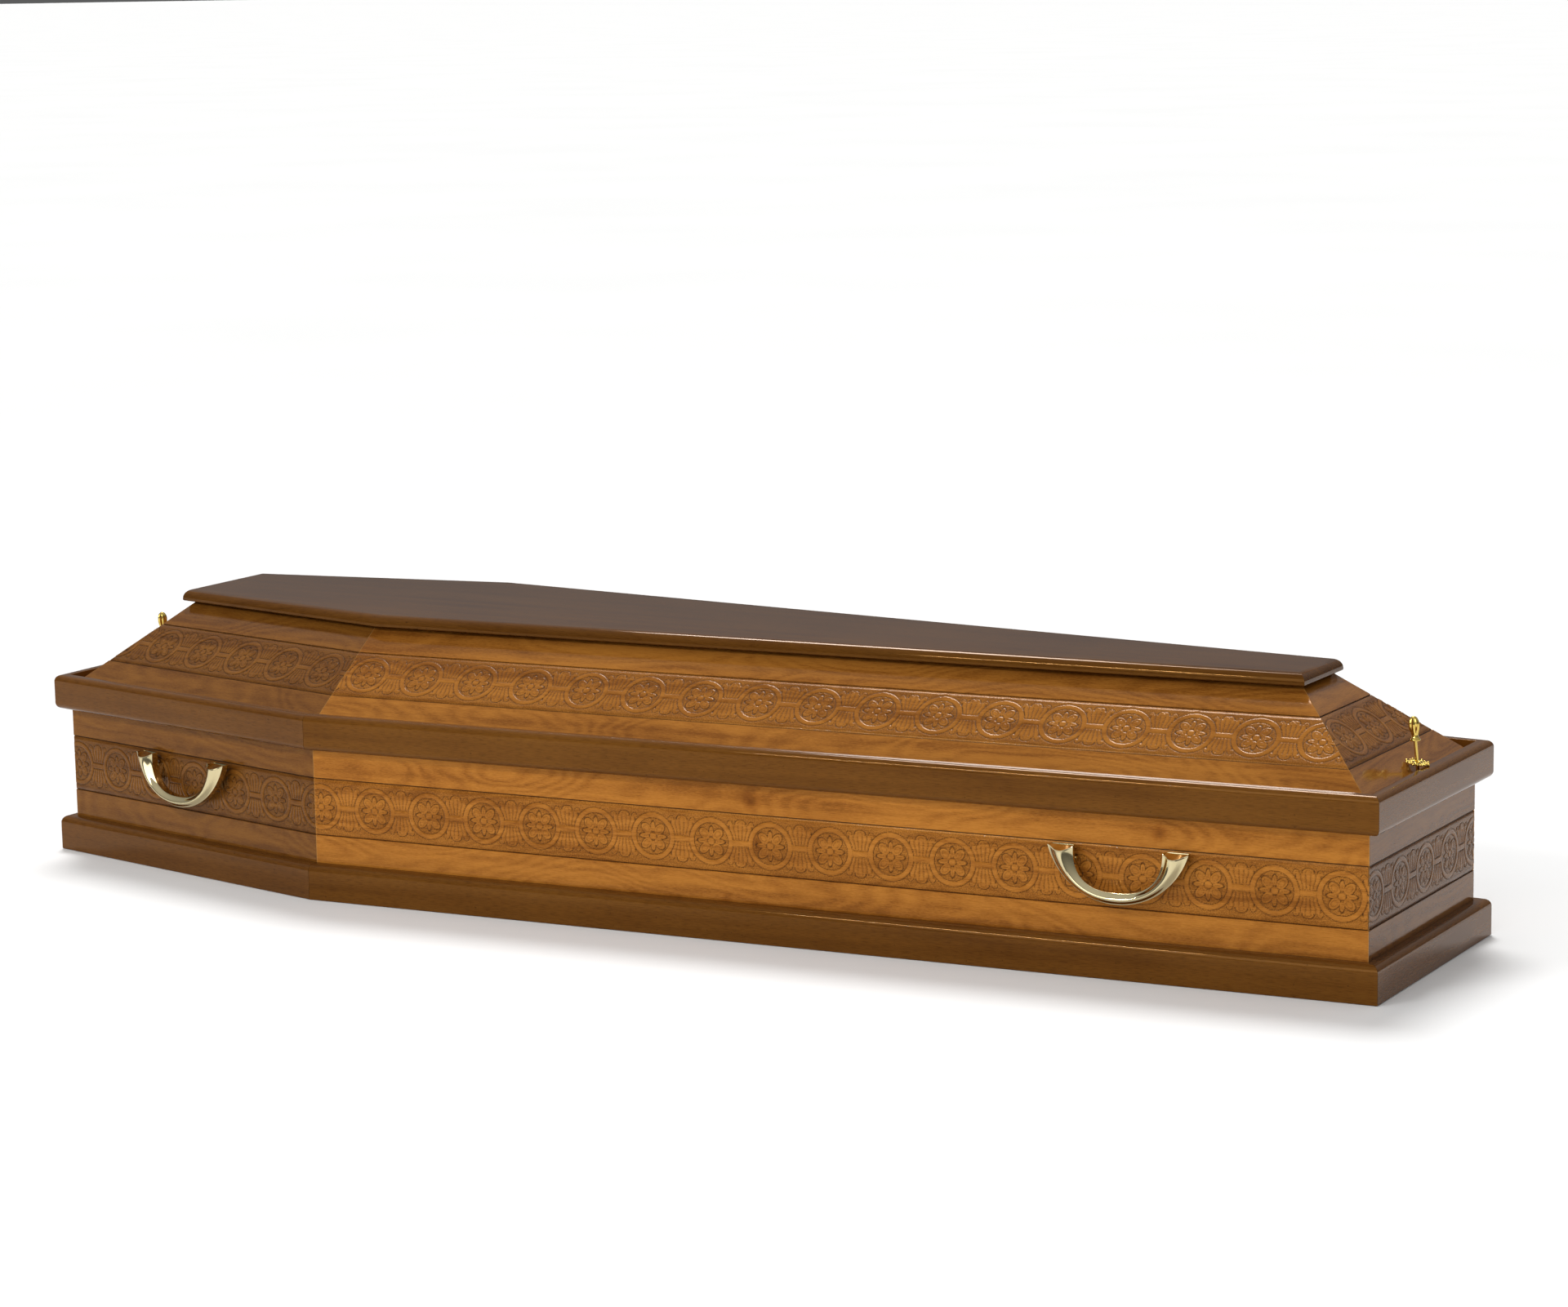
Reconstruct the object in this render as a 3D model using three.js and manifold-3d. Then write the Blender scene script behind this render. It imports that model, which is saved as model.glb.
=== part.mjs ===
// Six-sided wooden coffin: a box of mitred boards between two mouldings, a hipped lid that lifts
// off, pressed friezes of medallions, cast handles and two lid screws. Millimetres, +Z up, the
// head end towards -X, origin on the floor under the middle.
import * as THREE from 'three';
import { mergeVertices } from 'three/addons/utils/BufferGeometryUtils.js';
import Module from 'manifold-3d';

const wasm = await Module();
wasm.setup();

// Plan of the box over the outer faces of its boards
const LENGTH = 2000;
const HEAD_WIDTH = 402;
const SHOULDER_WIDTH = 600;
const FOOT_WIDTH = 363;
const SHOULDER_FROM_HEAD = 508.5;

// Play between pieces that touch, and the trim of each mitred end
const PLAY = 0.3;
const MITRE_TRIM = 0.2;

// Corners of one body closer than this are the same corner
const MERGE_REACH = 1e-3;

// Box
const BOTTOM_THICKNESS = 22;
const BOARD_THICKNESS = 25;
const BOX_TOP = 240;

// Mouldings: both stand out equally from the boards
const MOULDING_DEPTH = 18.5;
const BASE_HEIGHT = 49;
const BASE_ROUND = 10;
const RIM_BOTTOM = 208;
const RIM_TOP = 257.5;
const RIM_ROUND = 9;
const ARC_STEPS = 3;

// Lid: the slopes start at the boards' outer faces and rise to the top board
const LID_FOOT = BOX_TOP + PLAY;
const LID_SHOULDER = 358.2;
const LID_INSET = 144;
const SLOPE_THICKNESS = 22;
const TOP_THICKNESS = 16;
const TOP_ROUND = 13;

// Frieze: medallion rings joined by bars, with a leaf above and below each bar
const FRIEZE_PITCH = 85.4;
const FRIEZE_HEIGHT = 79;
const BOX_FRIEZE_CENTRE = 127.5;
const LID_FRIEZE_CENTRE = 301;
const RELIEF_DEPTH = 1.8;
const RELIEF_CREST = 0.2;
const PETAL_TIP = 0.6;
const RING_OUTER = 31.5;
const RING_CREST = 27.5;
const RING_INNER = 23.5;
const RING_SIDES = 8;
const BAR_HEIGHT = 8;
const LEAF_CREST_AT = 22;
const GROOVE_DEPTH = 3;
const GROOVE_HALF_WIDTH = 1.6;
const GROUND_EDGE = FRIEZE_HEIGHT / 2 - GROOVE_HALF_WIDTH;
const CUT_CLEARANCE = 2;

// Handles: a crescent between an arc and a fuller inner curve, with a rounded face
const HANDLE_WIDTH = 185;
const HANDLE_TOP = 166;
const HANDLE_BOTTOM = 98;
const HORN_WIDTH = 33.5;
const GRIP_HEIGHT = 14.5;
const INNER_FULLNESS = 2.5;
const HORN_EDGE = 20;
const GRIP_EDGE = 25;
const HANDLE_FLANK = 12;
const RIDGE_RISE = 9;
const FACE_RISE = 5;
const GRIP_FLATTENING = 0.35;
const HORN_SCOOP = 0.03;
const HANDLE_STEPS = 10;
const LEG_SPREAD = 64;
const LEG_HEIGHT_AT = 140;
const LEG_WIDTH = 11;
const LEG_HEIGHT = 22;
const SIDE_HANDLE_FROM_SHOULDER = 1180;

// Lid screws and the rosettes under them, on the middle of each end
const SCREW_FROM_END = 9.5;
const SCREW_SEAT = 258.3;
const FOOT_SCREW_LEAN = 5.5;
const SHANK_RADIUS = 2.2;
const SHANK_BURIED = 48;
const COLLAR_AT = 31;
const COLLAR_RADIUS = 6.5;
const NECK_RADIUS = 3.8;
const BUD_RADIUS = 6.9;
const SCREW_TOP = 62;
const SCREW_SIDES = 8;
const SCREW_HOLE_RADIUS = 3;
const ROSETTE_RADIUS = 16.5;
const ROSETTE_HOLE = 3.4;
const ROSETTE_LOBES = 8;
const ROSETTE_LOBE_DEPTH = 2;
const ROSETTE_THICKNESS = 3.4;
const ROSETTE_SEAT = 259.75;
const ROSETTE_TILT = 7.1;

const panelWood = new THREE.MeshStandardMaterial({ color: 0xa5692f, roughness: 0.3 });
const mouldingWood = new THREE.MeshStandardMaterial({ color: 0x5a3714, roughness: 0.25 });
const handleBrass = new THREE.MeshStandardMaterial({ color: 0xcdbd8c, roughness: 0.15, metalness: 1 });
const screwBrass = new THREE.MeshStandardMaterial({ color: 0xc6a23c, roughness: 0.2, metalness: 1 });

// Plan corners from the head end along the front, then back along the other side
const headX = -LENGTH / 2;
const shoulderX = headX + SHOULDER_FROM_HEAD;
const footX = LENGTH / 2;
const corners = [
  new THREE.Vector2(headX, -HEAD_WIDTH / 2),
  new THREE.Vector2(shoulderX, -SHOULDER_WIDTH / 2),
  new THREE.Vector2(footX, -FOOT_WIDTH / 2),
  new THREE.Vector2(footX, FOOT_WIDTH / 2),
  new THREE.Vector2(shoulderX, SHOULDER_WIDTH / 2),
  new THREE.Vector2(headX, HEAD_WIDTH / 2),
];

// One row a side: how far the top board is set in, and where a medallion stands on the box and
// on the lid, from the corner nearer the head, or from the front corner on the two ends. The
// sides away from the front have plainer medallions.
const sides = [
  { name: 'shoulder_front', topInset: 131, boxStart: 10.4, lidStart: 38 },
  { name: 'side_front', topInset: 128, boxStart: 10.2, lidStart: 46.5 },
  { name: 'foot', topInset: 134, boxStart: 17.5, lidStart: 25.7 },
  { name: 'side_back', topInset: 128, boxStart: 10.2, lidStart: 46.5, reversed: true, plain: true },
  { name: 'shoulder_back', topInset: 131, boxStart: 10.4, lidStart: 38, reversed: true, plain: true },
  { name: 'head', topInset: 125, boxStart: HEAD_WIDTH / 2, lidStart: HEAD_WIDTH / 2, plain: true },
];
sides.forEach((side, i) => {
  const start = corners[i];
  const end = corners[(i + 1) % corners.length];
  side.start = start;
  side.length = start.distanceTo(end);
  side.along = end.clone().sub(start).normalize();
  side.out = new THREE.Vector2(side.along.y, -side.along.x);
});

// The corner before side i once every side is moved out by its own offset
function cornerAt(i, offsets) {
  const previous = (i + sides.length - 1) % sides.length;
  const a = sides[previous];
  const b = sides[i];
  const p = a.start.clone().addScaledVector(a.out, offsets[previous]);
  const q = b.start.clone().addScaledVector(b.out, offsets[i]);
  const t = q.sub(p).cross(b.along) / a.along.cross(b.along);
  return p.addScaledVector(a.along, t);
}

// Every side moved out by the same distance
function evenly(offset) {
  return sides.map(() => offset);
}

function geometryOf(positions, index) {
  const geometry = new THREE.BufferGeometry();
  geometry.setAttribute('position', new THREE.Float32BufferAttribute(positions, 3));
  geometry.setIndex(index);
  return geometry;
}

// Closed body through rings of equal point counts. The outline is the first ring in the plane,
// anticlockwise seen from outside, and both caps are cut into triangles by it.
function loft(rings, outline) {
  const count = outline.length;
  const index = [];
  for (let r = 0; r + 1 < rings.length; r++) {
    for (let k = 0; k < count; k++) {
      const a = r * count + k;
      const b = r * count + (k + 1) % count;
      index.push(a, a + count, b + count, a, b + count, b);
    }
  }
  const last = (rings.length - 1) * count;
  for (const [a, b, c] of THREE.ShapeUtils.triangulateShape(outline, [])) {
    index.push(a, b, c, last + a, last + c, last + b);
  }
  return geometryOf(rings.flat().flatMap((p) => p.toArray()), index);
}

function solidOf(geometry) {
  const bare = geometry.clone();
  bare.deleteAttribute('normal');
  bare.deleteAttribute('uv');
  const merged = mergeVertices(bare, MERGE_REACH);
  return new wasm.Manifold(new wasm.Mesh({
    numProp: 3,
    vertProperties: merged.attributes.position.array,
    triVerts: new Uint32Array(merged.index.array),
  }));
}

function geometryFrom(solid) {
  const mesh = solid.getMesh();
  return geometryOf(mesh.vertProperties, Array.from(mesh.triVerts));
}

// A mitred length along side i. Each profile point has a height and the offsets of all six sides
// there, and the points run anticlockwise with the outside to the right.
function mitredLength(i, profile) {
  const side = sides[i];
  const next = (i + 1) % sides.length;
  const end = (corner, point, trim) => {
    const at = cornerAt(corner, point.offsets).addScaledVector(side.along, trim);
    return new THREE.Vector3(at.x, at.y, point.z);
  };
  const rings = [
    profile.map((point) => end(i, point, MITRE_TRIM)),
    profile.map((point) => end(next, point, -MITRE_TRIM)),
  ];
  return loft(rings, profile.map((point) => new THREE.Vector2(point.offsets[i], point.z)));
}

// Quarter circle of profile points around a centre, from one angle to another in degrees
function quarter(offset, z, radius, from, to) {
  return Array.from({ length: ARC_STEPS + 1 }, (_, k) => {
    const angle = THREE.MathUtils.degToRad(from + (to - from) * k / ARC_STEPS);
    return { offsets: evenly(offset + radius * Math.cos(angle)), z: z + radius * Math.sin(angle) };
  });
}

const boardProfile = [
  { offsets: evenly(-BOARD_THICKNESS), z: BOTTOM_THICKNESS + PLAY },
  { offsets: evenly(0), z: BOTTOM_THICKNESS + PLAY },
  { offsets: evenly(0), z: BOX_TOP },
  { offsets: evenly(-BOARD_THICKNESS), z: BOX_TOP },
];

const baseProfile = [
  { offsets: evenly(PLAY), z: 0 },
  { offsets: evenly(MOULDING_DEPTH), z: 0 },
  ...quarter(MOULDING_DEPTH - BASE_ROUND, BASE_HEIGHT - BASE_ROUND, BASE_ROUND, 0, 90),
  { offsets: evenly(PLAY), z: BASE_HEIGHT },
];

const rimProfile = [
  { offsets: evenly(PLAY), z: RIM_BOTTOM },
  ...quarter(MOULDING_DEPTH - RIM_ROUND, RIM_BOTTOM + RIM_ROUND, RIM_ROUND, -90, 0),
  ...quarter(MOULDING_DEPTH - RIM_ROUND, RIM_TOP - RIM_ROUND, RIM_ROUND, 0, 90),
  { offsets: evenly(PLAY), z: RIM_TOP },
];

const slopeRise = LID_SHOULDER - LID_FOOT;
const slopeLength = Math.hypot(slopeRise, LID_INSET);
const slopeFootWidth = SLOPE_THICKNESS * slopeLength / slopeRise;
const slopeProfile = [
  { offsets: evenly(-slopeFootWidth), z: LID_FOOT },
  { offsets: evenly(0), z: LID_FOOT },
  { offsets: evenly(-LID_INSET), z: LID_SHOULDER },
  { offsets: evenly(-LID_INSET - slopeFootWidth), z: LID_SHOULDER },
];

// A flat board over the whole plan, from rings of offsets and heights
function planBoard(levels) {
  const rings = levels.map(({ offsets, z }) => sides.map((_, i) => {
    const at = cornerAt(i, offsets);
    return new THREE.Vector3(at.x, at.y, z);
  }));
  return loft(rings, rings[0].map((p) => new THREE.Vector2(p.x, p.y)));
}

function bottomBoard() {
  return planBoard([{ offsets: evenly(0), z: BOTTOM_THICKNESS }, { offsets: evenly(0), z: 0 }]);
}

// The top board is widest at its underside and rounds over to its upper face
function topBoard() {
  const under = LID_SHOULDER + PLAY;
  const top = under + TOP_THICKNESS;
  const level = (inset, z) => ({ offsets: sides.map((side) => -side.topInset - inset), z });
  const rounded = Array.from({ length: ARC_STEPS + 1 }, (_, k) => {
    const angle = (Math.PI / 2) * (1 - k / ARC_STEPS);
    return level(TOP_ROUND * (1 - Math.cos(angle)), top - TOP_ROUND * (1 - Math.sin(angle)));
  });
  return planBoard([...rounded, level(0, under)]);
}

// Frame of a face: u along the side, v up the face, w out of it
function faceFrame(side, height, pitchRun, pitchRise) {
  const u = new THREE.Vector3(side.along.x, side.along.y, 0);
  const out = new THREE.Vector3(side.out.x, side.out.y, 0);
  const up = new THREE.Vector3(0, 0, 1);
  const slope = Math.hypot(pitchRun, pitchRise);
  const v = up.clone().multiplyScalar(pitchRise / slope).addScaledVector(out, -pitchRun / slope);
  const w = new THREE.Vector3().crossVectors(u, v);
  const origin = new THREE.Vector3(side.start.x, side.start.y, height);
  return new THREE.Matrix4().makeBasis(u, v, w).setPosition(origin);
}

function boxFrame(side, height) {
  return faceFrame(side, height, 0, 1);
}

// The lid's frame starts on the slope at the height of its frieze
function lidFrame(side) {
  const rise = LID_FRIEZE_CENTRE - LID_FOOT;
  const inset = LID_INSET * rise / slopeRise;
  const frame = faceFrame(side, LID_FRIEZE_CENTRE, LID_INSET, slopeRise);
  const shift = new THREE.Matrix4().makeTranslation(-side.out.x * inset, -side.out.y * inset, 0);
  return frame.premultiply(shift);
}

// Corners on one quarter of a medallion's ring, towards a neighbour and up or down, with the
// points where the bar meets the ring
function ringQuarter(u, hand, rise) {
  const corner = (radius, step, depth) => {
    const angle = step * Math.PI / RING_SIDES;
    return new THREE.Vector3(u + hand * radius * Math.cos(angle), rise * radius * Math.sin(angle), -depth);
  };
  const flat = Math.cos(Math.PI / RING_SIDES);
  return {
    lower: corner(RING_OUTER, 1, RELIEF_DEPTH),
    upper: corner(RING_OUTER, 3, RELIEF_DEPTH),
    crestLower: corner(RING_CREST, 1, RELIEF_CREST),
    root: new THREE.Vector3(u + hand * RING_OUTER * flat, rise * BAR_HEIGHT / 2, -RELIEF_DEPTH),
    crest: new THREE.Vector3(u + hand * RING_CREST * flat, 0, -RELIEF_CREST),
  };
}

// Ring corners all the way round, each at its own depth
function ringCorners(u, radius, turn, depth) {
  return Array.from({ length: RING_SIDES }, (_, k) => {
    const angle = (k + turn) * 2 * Math.PI / RING_SIDES;
    return new THREE.Vector3(u + radius * Math.cos(angle), radius * Math.sin(angle), -depth(k));
  });
}

// Faces of one medallion at u: the ring's flanks and a rosette folded into four petals, or a flat
// boss where it is plain. Faces look into the board, as the underside of the body cut away.
function medallionFaces(u, plain) {
  const faces = [];
  const outer = ringCorners(u, RING_OUTER, 0.5, () => RELIEF_DEPTH);
  const crest = ringCorners(u, RING_CREST, 0.5, () => RELIEF_CREST);
  const inner = ringCorners(u, RING_INNER, 0, (k) => (k % 2 ? PETAL_TIP : RELIEF_DEPTH));
  const heart = new THREE.Vector3(u, 0, -RELIEF_CREST);
  for (let k = 0; k < RING_SIDES; k++) {
    const next = (k + 1) % RING_SIDES;
    const barHand = { [RING_SIDES - 1]: 1, [RING_SIDES / 2 - 1]: -1 }[k];
    const within = plain ? heart : inner[next];
    if (!plain) faces.push([crest[k], inner[k], inner[next]], [inner[k], heart, inner[next]]);
    if (barHand) {
      const meetsBar = ringQuarter(u, barHand, 1).crest;
      faces.push([crest[k], within, meetsBar], [meetsBar, within, crest[next]]);
    } else {
      faces.push([crest[k], within, crest[next]]);
      faces.push([outer[k], crest[k], crest[next]], [outer[k], crest[next], outer[next]]);
    }
  }
  return faces;
}

// Faces between the ring at u and what follows it towards hand: the next ring, or the end of the
// cut. A bar links the rings, and a leaf fans out from a crest over the bar.
function linkFaces(u, hand, endsHere) {
  const faces = [];
  const middle = u + hand * FRIEZE_PITCH / 2;
  for (const rise of [1, -1]) {
    const face = (a, b, c) => faces.push(hand * rise > 0 ? [a, b, c] : [a, c, b]);
    const near = ringQuarter(u, hand, rise);
    const far = endsHere ? {
      root: new THREE.Vector3(middle, rise * BAR_HEIGHT / 2, -RELIEF_DEPTH),
      crest: new THREE.Vector3(middle, 0, -RELIEF_CREST),
    } : ringQuarter(u + hand * FRIEZE_PITCH, -hand, rise);
    const leaf = new THREE.Vector3(middle, rise * LEAF_CREST_AT, -RELIEF_CREST);
    const border = new THREE.Vector3(middle, rise * GROUND_EDGE, -RELIEF_DEPTH);
    face(leaf, near.upper, border);
    face(leaf, near.lower, near.upper);
    face(leaf, near.root, near.lower);
    face(leaf, far.root, near.root);
    face(near.root, far.root, far.crest);
    face(near.root, far.crest, near.crest);
    if (endsHere) continue;
    face(leaf, far.lower, far.root);
    face(leaf, far.upper, far.lower);
    face(leaf, border, far.upper);
  }
  return faces;
}

// Faces where the ring at u takes in its bars, and the ground above and below the ring
function ringSideFaces(u) {
  const faces = [];
  for (const rise of [1, -1]) {
    const border = (hand) => {
      return new THREE.Vector3(u + hand * FRIEZE_PITCH / 2, rise * GROUND_EDGE, -RELIEF_DEPTH);
    };
    for (const hand of [1, -1]) {
      const face = (a, b, c) => faces.push(hand * rise > 0 ? [a, b, c] : [a, c, b]);
      const { lower, crestLower, root, crest } = ringQuarter(u, hand, rise);
      face(root, crest, lower);
      face(lower, crest, crestLower);
    }
    const right = ringQuarter(u, 1, rise).upper;
    const left = ringQuarter(u, -1, rise).upper;
    const ground = [[right, left, border(-1)], [right, border(-1), border(1)]];
    faces.push(...ground.map(([a, b, c]) => (rise > 0 ? [a, b, c] : [a, c, b])));
  }
  return faces;
}

// Section of the cut across the frieze: clearance, groove, ground, leaf, bar, and the same below
const upperSection = [
  [FRIEZE_HEIGHT / 2 + GROOVE_HALF_WIDTH, CUT_CLEARANCE],
  [FRIEZE_HEIGHT / 2 + GROOVE_HALF_WIDTH, 0],
  [FRIEZE_HEIGHT / 2, -GROOVE_DEPTH],
  [GROUND_EDGE, -RELIEF_DEPTH],
  [LEAF_CREST_AT, -RELIEF_CREST],
  [BAR_HEIGHT / 2, -RELIEF_DEPTH],
];
const lowerSection = upperSection.map(([v, w]) => [-v, w]).reverse();
const cutSection = [...upperSection, [0, -RELIEF_CREST], ...lowerSection];

// The body cut away from a board for its frieze: pressed ground with a groove on each long edge
function friezeCut(firstU, repeats, plain) {
  const faces = [];
  for (let k = 0; k < repeats; k++) {
    const u = firstU + k * FRIEZE_PITCH;
    faces.push(...medallionFaces(u, plain), ...ringSideFaces(u));
    faces.push(...linkFaces(u, 1, k === repeats - 1));
  }
  faces.push(...linkFaces(firstU, -1, true));

  const from = firstU - FRIEZE_PITCH / 2;
  const to = from + repeats * FRIEZE_PITCH;
  const starts = cutSection.map(([v, w]) => new THREE.Vector3(from, v, w));
  const ends = cutSection.map(([v, w]) => new THREE.Vector3(to, v, w));
  const outline = cutSection.map(([v, w]) => new THREE.Vector2(v, w));
  for (const [a, b, c] of THREE.ShapeUtils.triangulateShape(outline, [])) {
    faces.push([starts[a], starts[c], starts[b]], [ends[a], ends[b], ends[c]]);
  }

  // Long faces: the clearance on top, its sides and the grooves' outer flanks
  const last = cutSection.length - 1;
  faces.push([starts[0], starts[last], ends[last]], [starts[0], ends[last], ends[0]]);
  for (const k of [0, 1, last - 2, last - 1]) {
    faces.push([starts[k], ends[k], ends[k + 1]], [starts[k], ends[k + 1], starts[k + 1]]);
  }

  // The grooves' inner flanks meet the ground at a corner over every bar
  for (const rise of [1, -1]) {
    const deep = rise > 0 ? 2 : last - 2;
    const borders = Array.from({ length: repeats + 1 }, (_, k) => {
      return new THREE.Vector3(from + k * FRIEZE_PITCH, rise * GROUND_EDGE, -RELIEF_DEPTH);
    });
    const flank = borders.slice(1).map((border, k) => [starts[deep], border, borders[k]]);
    flank.push([starts[deep], ends[deep], borders[repeats]]);
    faces.push(...flank.map(([a, b, c]) => (rise > 0 ? [a, b, c] : [a, c, b])));
  }
  const positions = faces.flat().flatMap((p) => p.toArray());
  const index = Array.from({ length: positions.length / 3 }, (_, k) => k);
  return mergeVertices(geometryOf(positions, index), MERGE_REACH);
}

// A board with the frieze cut into its outer face, past both ends of the board
function friezeBoard(side, board, frame, start) {
  const from = side.reversed ? side.length - start : start;
  const first = from - Math.ceil(from / FRIEZE_PITCH) * FRIEZE_PITCH;
  const repeats = Math.ceil((side.length - first) / FRIEZE_PITCH) + 1;
  const cut = friezeCut(first, repeats, side.plain).applyMatrix4(frame);
  return solidOf(board).subtract(solidOf(cut));
}

// Crescent point: s runs from one horn to the other, a from the outer arc to the inner one
function crescentArc(halfWidth, bottom) {
  const sagitta = HANDLE_TOP - bottom;
  const radius = (halfWidth * halfWidth + sagitta * sagitta) / (2 * sagitta);
  const centre = bottom + radius;
  const sweep = Math.acos((centre - HANDLE_TOP) / radius);
  return (s) => {
    const angle = -Math.PI / 2 + sweep * (2 * s - 1);
    return new THREE.Vector2(radius * Math.cos(angle), centre + radius * Math.sin(angle));
  };
}

const outerArc = crescentArc(HANDLE_WIDTH / 2, HANDLE_BOTTOM);

// Inner edge of the crescent: fuller than an ellipse, so that the arms stay slim
function innerArc(s) {
  const turn = Math.PI * s;
  const power = 2 / INNER_FULLNESS;
  const halfWidth = HANDLE_WIDTH / 2 - HORN_WIDTH;
  const drop = HANDLE_TOP - HANDLE_BOTTOM - GRIP_HEIGHT;
  const across = Math.sign(Math.cos(turn)) * Math.abs(Math.cos(turn)) ** power;
  return new THREE.Vector2(-halfWidth * across, HANDLE_TOP - drop * Math.sin(turn) ** power);
}

// Handle in its face's frame: u along the side, v the height above the floor, w out of the face
function handleBody() {
  const section = [
    { a: 0.06, rise: -HANDLE_FLANK, scoop: 0 },
    { a: 0, rise: 0, scoop: 0 },
    { a: 0.24, rise: FACE_RISE, scoop: HORN_SCOOP * 0.7 },
    { a: 0.5, rise: RIDGE_RISE, scoop: HORN_SCOOP },
    { a: 0.76, rise: FACE_RISE, scoop: HORN_SCOOP * 0.7 },
    { a: 1, rise: 0, scoop: 0 },
    { a: 0.94, rise: -HANDLE_FLANK, scoop: 0 },
  ];
  const rings = Array.from({ length: HANDLE_STEPS + 1 }, (_, step) => section.map((point) => {
    const s = THREE.MathUtils.clamp(step / HANDLE_STEPS, point.scoop, 1 - point.scoop);
    const at = outerArc(s).lerp(innerArc(s), point.a);
    const grip = Math.sin(Math.PI * s);
    const edge = HORN_EDGE + (GRIP_EDGE - HORN_EDGE) * grip;
    const rise = point.rise * (point.rise > 0 ? 1 - GRIP_FLATTENING * grip : 1);
    return new THREE.Vector3(at.x, at.y, edge + rise);
  }));
  return loft(rings, rings[0].map((p) => new THREE.Vector2(p.z, p.x)));
}

// Two legs under the horns carry the crescent clear of the board, with room for fingers behind
function handle() {
  const legEnd = HORN_EDGE - HANDLE_FLANK / 2;
  const legs = [-1, 1].map((hand) => {
    const leg = new THREE.BoxGeometry(LEG_WIDTH, LEG_HEIGHT, legEnd - PLAY);
    return solidOf(leg.translate(hand * LEG_SPREAD, LEG_HEIGHT_AT, (legEnd + PLAY) / 2));
  });
  return geometryFrom(legs.reduce((solid, leg) => solid.add(leg), solidOf(handleBody())));
}

// Lid screw along +Z from its seat: shank, flared collar, neck and bud
function screw() {
  const profile = [
    [0, -SHANK_BURIED],
    [SHANK_RADIUS, -SHANK_BURIED + SHANK_RADIUS * 2],
    [SHANK_RADIUS, COLLAR_AT],
    [COLLAR_RADIUS, COLLAR_AT + 0.6],
    [COLLAR_RADIUS - 0.6, COLLAR_AT + 2],
    [NECK_RADIUS, COLLAR_AT + 7],
    [BUD_RADIUS * 0.92, SCREW_TOP - 17],
    [BUD_RADIUS, SCREW_TOP - 11],
    [BUD_RADIUS * 0.82, SCREW_TOP - 5],
    [0, SCREW_TOP],
  ].map(([r, z]) => new THREE.Vector2(r, z));
  return new THREE.LatheGeometry(profile, SCREW_SIDES).rotateX(Math.PI / 2);
}

// Clearance hole for the shank, run up past the lid's slope
function screwHole() {
  const ring = (z) => Array.from({ length: SCREW_SIDES }, (_, k) => {
    const angle = k * 2 * Math.PI / SCREW_SIDES;
    const x = SCREW_HOLE_RADIUS * Math.cos(angle);
    return new THREE.Vector3(x, SCREW_HOLE_RADIUS * Math.sin(angle), z);
  });
  const top = ring(0);
  return loft([top, ring(-SHANK_BURIED - PLAY)], top.map((p) => new THREE.Vector2(p.x, p.y)));
}

// Rosette with scalloped lobes and a hole for the shank
function rosette() {
  const outline = Array.from({ length: ROSETTE_LOBES * 2 }, (_, k) => {
    const angle = k * Math.PI / ROSETTE_LOBES;
    const radius = ROSETTE_RADIUS - (k % 2 ? ROSETTE_LOBE_DEPTH : 0);
    return new THREE.Vector2(radius * Math.cos(angle), radius * Math.sin(angle));
  });
  const shape = new THREE.Shape(outline);
  const hole = Array.from({ length: SCREW_SIDES }, (_, k) => {
    const angle = -k * 2 * Math.PI / SCREW_SIDES;
    return new THREE.Vector2(ROSETTE_HOLE * Math.cos(angle), ROSETTE_HOLE * Math.sin(angle));
  });
  shape.holes.push(new THREE.Path(hole));
  return new THREE.ExtrudeGeometry(shape, { depth: ROSETTE_THICKNESS, bevelEnabled: false });
}

// Places of the two screws: on the foot end the screw leans in over the lid
const screwX = footX - SCREW_FROM_END;
const screwEnds = [
  { name: 'foot', x: screwX, lean: -FOOT_SCREW_LEAN, tilt: ROSETTE_TILT },
  { name: 'head', x: -screwX, lean: 0, tilt: -ROSETTE_TILT },
];

function screwPlace(end) {
  const lean = new THREE.Matrix4().makeRotationY(THREE.MathUtils.degToRad(end.lean));
  return lean.premultiply(new THREE.Matrix4().makeTranslation(end.x, 0, SCREW_SEAT));
}

const coffin = new THREE.Group();

function add(name, geometry, material) {
  const mesh = new THREE.Mesh(geometry, material);
  mesh.name = name;
  coffin.add(mesh);
  return mesh;
}

add('bottom_board', bottomBoard(), panelWood);
sides.forEach((side, i) => {
  const boxFace = boxFrame(side, BOX_FRIEZE_CENTRE);
  const box = friezeBoard(side, mitredLength(i, boardProfile), boxFace, side.boxStart);
  const slope = friezeBoard(side, mitredLength(i, slopeProfile), lidFrame(side), side.lidStart);
  const end = screwEnds.find(({ name }) => name === side.name);
  const hole = end && solidOf(screwHole().applyMatrix4(screwPlace(end)));
  const drill = (solid) => (hole ? solid.subtract(hole) : solid);
  add(`box_${side.name}`, geometryFrom(drill(box)), panelWood);
  add(`lid_slope_${side.name}`, geometryFrom(drill(slope)), panelWood);
  add(`base_moulding_${side.name}`, mitredLength(i, baseProfile), mouldingWood);
  add(`rim_moulding_${side.name}`, mitredLength(i, rimProfile), mouldingWood);
});
add('lid_top', topBoard(), mouldingWood);

for (const side of sides.filter(({ name }) => /^(shoulder|side)_/.test(name))) {
  const fromStart = side.name.startsWith('shoulder') ? side.length / 2 : SIDE_HANDLE_FROM_SHOULDER;
  const u = side.reversed ? side.length - fromStart : fromStart;
  const mesh = add(`handle_${side.name}`, handle(), handleBrass);
  mesh.applyMatrix4(boxFrame(side, 0).multiply(new THREE.Matrix4().makeTranslation(u, 0, 0)));
}

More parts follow.
